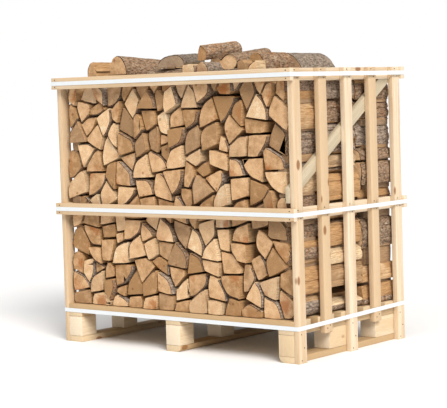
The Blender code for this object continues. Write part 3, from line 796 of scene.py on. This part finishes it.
def add_board(node, materials, draw, board):
    """A sawn board in place of its solid: worn edges, and faces that stray a little from flat."""
    shape = merged_copy(node)
    bmesh.ops.dissolve_limit(shape, angle_limit=math.radians(1.0), verts=shape.verts, edges=shape.edges)
    longest = max(shape.edges, key=lambda edge: edge.calc_length())
    along = (longest.verts[1].co - longest.verts[0].co).normalized()
    if max(along, key=abs) < 0:
        along.negate()
    side = Vector((1.0, 0.0, 0.0)) if abs(along.x) < 0.5 else Vector((0.0, 1.0, 0.0))
    across = along.cross(side).normalized()
    bmesh.ops.bevel(shape, geom=shape.edges[:], offset=board.edge_rounding, segments=2,
                    profile=0.5, affect="EDGES", clamp_overlap=True)
    reaches = [vert.co.dot(along) for vert in shape.verts]
    start, end = min(reaches), max(reaches)
    cuts = max(1, round((end - start) / board.cut_step))
    for i in range(1, cuts):
        bmesh.ops.bisect_plane(shape, geom=shape.verts[:] + shape.edges[:] + shape.faces[:],
                               plane_co=along * (start + (end - start) * i / cuts), plane_no=along)
    layers = grain_layers(shape)
    centre = sum((vert.co for vert in shape.verts), Vector()) / len(shape.verts)
    shift = Vector((draw.uniform(-9, 9), draw.uniform(-9, 9), draw.uniform(-9, 9)))
    tone, stain = draw.random(), draw.random()
    for vert in shape.verts:
        place = vert.co - centre
        vert[layers["grain"]] = Vector((place.dot(across), place.dot(side), place.dot(along))) + shift
        vert[layers["tone"]] = tone
        vert[layers["stain"]] = stain
    shape.normal_update()
    normals = {vert: vert.normal.copy() for vert in shape.verts}
    for vert in shape.verts:
        strength = 0.5 + 0.5 * noise.noise(vert.co * 9.0 + shift)
        vert.co -= normals[vert] * board.wander * max(0.0, strength)
    for face in shape.faces:
        if abs(face.normal.dot(along)) > 0.9:
            face.material_index = 1
    new_piece("sawn_" + node, shape, materials, node)


def add_boards(prefixes, material_name, pale, dark, seed_shift):
    board = bpy.context.scene.firewood_board
    faces = pine_material(material_name, board, pale, dark)
    ends = board_end_material(material_name + "_end", pale, dark)
    nodes = sorted(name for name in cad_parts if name.startswith(prefixes))
    if not nodes:
        raise RuntimeError(f"no solids are named {prefixes}")
    draw = random.Random(board.seed + seed_shift)
    for node in nodes:
        add_board(node, [faces, ends], draw, board)


class FIREWOOD_OT_pallet(Operator):
    """Make the pallet's runners, blocks, stringers and deck boards"""
    bl_idname = "firewood.pallet"
    bl_label = "Pallet"

    def execute(self, context):
        board = context.scene.firewood_board
        add_boards(("runner", "stringer", "deck_board"), "rough_sawn_pallet_pine",
                   board.pallet_pale, board.pallet_dark, 0)
        add_boards(("block",), "sawn_pine_block", board.block_pale, board.block_dark,
                   1)
        return {"FINISHED"}


class FIREWOOD_OT_crate(Operator):
    """Make the crate's slats, rails and braces"""
    bl_idname = "firewood.crate"
    bl_label = "Crate"

    def execute(self, context):
        board = context.scene.firewood_board
        add_boards(("slat", "rail", "side_rail"), "sawn_pine_batten", board.pine_pale, board.pine_dark,
                   2)
        add_boards(("brace",), "weathered_pine_batten", board.brace_pale, board.brace_dark,
                   3)
        return {"FINISHED"}


class FIREWOOD_OT_straps(Operator):
    """Give the straps their pressed white plastic"""
    bl_idname = "firewood.straps"
    bl_label = "Straps"

    def execute(self, context):
        material = strap_material(context.scene.firewood_strap)
        for name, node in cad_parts.items():
            if name.startswith("strap"):
                node.data.materials.clear()
                node.data.materials.append(material)
        return {"FINISHED"}


# Nails

def nail_places():
    """Where nails are driven: points with outward normals, from the boards that cross."""
    places = []
    top, middle = (sum(corner.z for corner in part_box(f"side_rail_right_{place}")) / 2
                   for place in ("top", "middle"))
    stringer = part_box("stringer_right")[0].z
    for side, sign in (("left", -1.0), ("right", 1.0)):
        for i in range(1, 6):
            low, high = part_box(f"slat_{side}_{i}")
            face, centre = high.x if sign > 0 else low.x, (low.y + high.y) / 2
            heights = [top + 0.016, top - 0.014, middle + 0.016, middle - 0.015]
            heights += [stringer + 0.006, stringer + 0.016] if low.z > 0.01 else \
                       [stringer + 0.004, 0.058, 0.012]
            for k, height in enumerate(heights):
                offset = 0.009 if k % 2 else -0.008
                places.append((Vector((face, centre + offset, height)), Vector((sign, 0.0, 0.0))))
    for end, sign in (("front", -1.0), ("back", 1.0)):
        for place in ("top", "middle"):
            low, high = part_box(f"rail_{end}_{place}")
            face = low.y if sign < 0 else high.y
            for x in (low.x + 0.021, high.x - 0.021):
                for height in (low.z + 0.009, high.z - 0.009):
                    places.append((Vector((x, face, height)), Vector((0.0, sign, 0.0))))
    return places


def nail_tree(nail):
    """Geometry nodes: a nail head at each point, turned to its normal and a little at random."""
    tree = bpy.data.node_groups.new("nail_heads", "GeometryNodeTree")
    tree.interface.new_socket("Geometry", in_out="INPUT", socket_type="NodeSocketGeometry")
    for name, kind in (("Head Diameter", "Float"), ("Head Height", "Float"), ("Tilt", "Float"),
                       ("Seed", "Int"), ("Steel", "Material")):
        tree.interface.new_socket(name, in_out="INPUT", socket_type="NodeSocket" + kind)
    tree.interface.new_socket("Geometry", in_out="OUTPUT", socket_type="NodeSocketGeometry")
    add = partial(add_node, tree)
    given = add("NodeGroupInput", {}).outputs
    radius = add("Math", {0: given["Head Diameter"], 1: 0.5}, operation="MULTIPLY")
    head = add("GeometryNodeMeshCylinder", {"Vertices": 14, "Radius": radius, "Depth": given["Head Height"]},
               fill_type="NGON")
    normal = add("GeometryNodeInputNamedAttribute", {"Name": "outwards"}, data_type="FLOAT_VECTOR")
    align = add("FunctionNodeAlignRotationToVector", {"Vector": normal}, axis="Z")
    low = add("Math", {0: given["Tilt"], 1: -1.0}, operation="MULTIPLY")
    tilt = add("FunctionNodeRandomValue", {"Min": low, "Max": given["Tilt"], "Seed": given["Seed"]},
               data_type="FLOAT_VECTOR")
    turn = add("FunctionNodeRotateRotation", {"Rotation": align, "Rotate By": tilt}, rotation_space="LOCAL")
    heads = add("GeometryNodeInstanceOnPoints", {"Points": given["Geometry"], "Instance": head,
                                                 "Rotation": turn})
    real = add("GeometryNodeRealizeInstances", {"Geometry": heads})
    painted = add("GeometryNodeSetMaterial", {"Geometry": real, "Material": given["Steel"]})
    add("NodeGroupOutput", {"Geometry": painted})
    return tree


def applied(name, guide, tree, values):
    """The plain mesh that a geometry tree makes of a guide, which is removed."""
    modifier = guide.modifiers.new("made", "NODES")
    modifier.node_group = tree
    for item in tree.interface.items_tree:
        if item.in_out == "INPUT" and item.name in values:
            modifier[item.identifier] = values[item.name]
    bpy.context.view_layer.update()
    graph = bpy.context.evaluated_depsgraph_get()
    mesh = bpy.data.meshes.new_from_object(guide.evaluated_get(graph))
    mesh.name = name
    bpy.data.meshes.remove(guide.data)
    return shown(name, mesh)


class FIREWOOD_OT_nails(Operator):
    """Drive the nails that hold the slats and the rails"""
    bl_idname = "firewood.nails"
    bl_label = "Nails"

    def execute(self, context):
        nail = context.scene.firewood_nail
        places = nail_places()
        if not places:
            raise RuntimeError("no places for nails were found")
        mesh = bpy.data.meshes.new("nail_points")
        mesh.from_pydata([point for point, _ in places], [], [])
        outwards = mesh.attributes.new("outwards", "FLOAT_VECTOR", "POINT")
        outwards.data.foreach_set("vector", [part for _, normal in places for part in normal])
        piece = applied("nail_heads", shown("nail_points", mesh), nail_tree(nail),
                        {"Head Diameter": nail.head_diameter, "Head Height": nail.head_height,
                         "Tilt": math.radians(4.0), "Seed": nail.seed, "Steel": nail_material(nail)})
        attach(piece, "root")
        return {"FINISHED"}


# Studio

def away_from(azimuth, elevation):
    """The way from the crate to a place so many degrees round to the right and up."""
    azimuth, elevation = math.radians(azimuth), math.radians(elevation)
    return Vector((math.sin(azimuth) * math.cos(elevation), -math.cos(azimuth) * math.cos(elevation),
                   math.sin(elevation)))


class FIREWOOD_OT_studio(Operator):
    """Set out the pale floor, the soft lights and the camera"""
    bl_idname = "firewood.studio"
    bl_label = "Studio"

    def execute(self, context):
        studio = context.scene.firewood_studio
        self.add_floor(studio)
        self.add_lights(studio)
        self.add_camera()
        return {"FINISHED"}

    def add_floor(self, studio):
        """A round floor so wide that its edge is never seen."""
        shape = bmesh.new()
        bmesh.ops.create_circle(shape, cap_ends=True, segments=96, radius=40.0)
        mesh = bpy.data.meshes.new("studio_floor")
        shape.to_mesh(mesh)
        shape.free()
        material, _, finish = new_material("matt_studio_paint")
        finish(studio.floor, 0.9, 0.5)
        mesh.materials.append(material)
        shown("studio_floor", mesh)

    def add_lights(self, studio):
        """A large soft light high on the right, even light all round, and a white backdrop."""
        world = bpy.data.worlds.new("white_studio")
        world.use_nodes = True
        tree = world.node_tree
        even = tree.nodes["Background"]
        even.inputs["Color"].default_value = WHITE
        even.inputs["Strength"].default_value = studio.surroundings
        backdrop = add_node(tree, "Background", {"Color": studio.backdrop})
        seen = add_node(tree, "LightPath", {}).outputs["Is Camera Ray"]
        mixed = add_node(tree, "MixShader", {0: seen, 1: even, 2: backdrop})
        tree.links.new(mixed.outputs[0], tree.nodes["World Output"].inputs["Surface"])
        bpy.context.scene.world = world
        self.add_distant_light("key", studio.key_strength, studio.key_softness, 58.0, 36.0)
        self.add_distant_light("fill", studio.fill_strength, studio.fill_softness, 5.0, 42.0)
        self.add_distant_light("overhead", studio.overhead_strength, studio.fill_softness, 40.0, 80.0)

    def add_distant_light(self, name, strength, softness, azimuth, elevation):
        """A soft light so far off that it is as strong on the floor as on the crate."""
        light = bpy.data.lights.new(name, "SUN")
        light.energy = strength
        light.angle = softness
        light.color = linear("#FFF9F2")[:3]
        turned = away_from(azimuth, elevation).to_track_quat("Z", "Y").to_euler()
        shown(name, light).rotation_euler = turned

    def add_camera(self):
        """Low and to the right of the log ends, level with the top of the crate."""
        roll = Quaternion((0.0, 0.0, 1.0), math.radians(-1.80))
        data = bpy.data.cameras.new("camera")
        data.sensor_fit = "HORIZONTAL"
        data.sensor_width = 36.0
        data.lens = 126.57
        camera = shown("camera", data)
        camera.rotation_euler = (away_from(39.47, 3.89).to_track_quat("Z", "Y") @ roll).to_euler()
        camera.location = (4.0802, -4.9892, 0.9997)
        bpy.context.scene.camera = camera
        bpy.context.scene.view_settings.view_transform = "Standard"


class FIREWOOD_PT_panel(Panel):
    """Lists the settings and the buttons that make each piece"""
    bl_idname = "FIREWOOD_PT_panel"
    bl_label = "Crated Firewood"
    bl_space_type = "VIEW_3D"
    bl_region_type = "UI"
    bl_category = "Firewood"

    def draw(self, context):
        for operator in OPERATORS:
            self.layout.operator(operator.bl_idname)
        for holder, group in SETTINGS.items():
            box = self.layout.box()
            for name in group.__annotations__:
                box.prop(getattr(context.scene, holder), name)


SETTINGS = {
    "firewood_log": LogSettings,
    "firewood_board": BoardSettings,
    "firewood_strap": StrapSettings,
    "firewood_nail": NailSettings,
    "firewood_studio": StudioSettings,
}
OPERATORS = (FIREWOOD_OT_log_rows, FIREWOOD_OT_loose_logs, FIREWOOD_OT_pallet, FIREWOOD_OT_crate,
             FIREWOOD_OT_straps, FIREWOOD_OT_nails, FIREWOOD_OT_studio)


def register():
    for holder, group in SETTINGS.items():
        bpy.utils.register_class(group)
        setattr(bpy.types.Scene, holder, PointerProperty(type=group))
    for operator in OPERATORS:
        bpy.utils.register_class(operator)
    bpy.utils.register_class(FIREWOOD_PT_panel)


def unregister():
    bpy.utils.unregister_class(FIREWOOD_PT_panel)
    for operator in reversed(OPERATORS):
        bpy.utils.unregister_class(operator)
    for holder, group in reversed(SETTINGS.items()):
        delattr(bpy.types.Scene, holder)
        bpy.utils.unregister_class(group)


def main():
    register()
    for operator in OPERATORS:
        getattr(bpy.ops.firewood, operator.bl_idname.split(".")[1])()


if __name__ == "__main__":
    main()
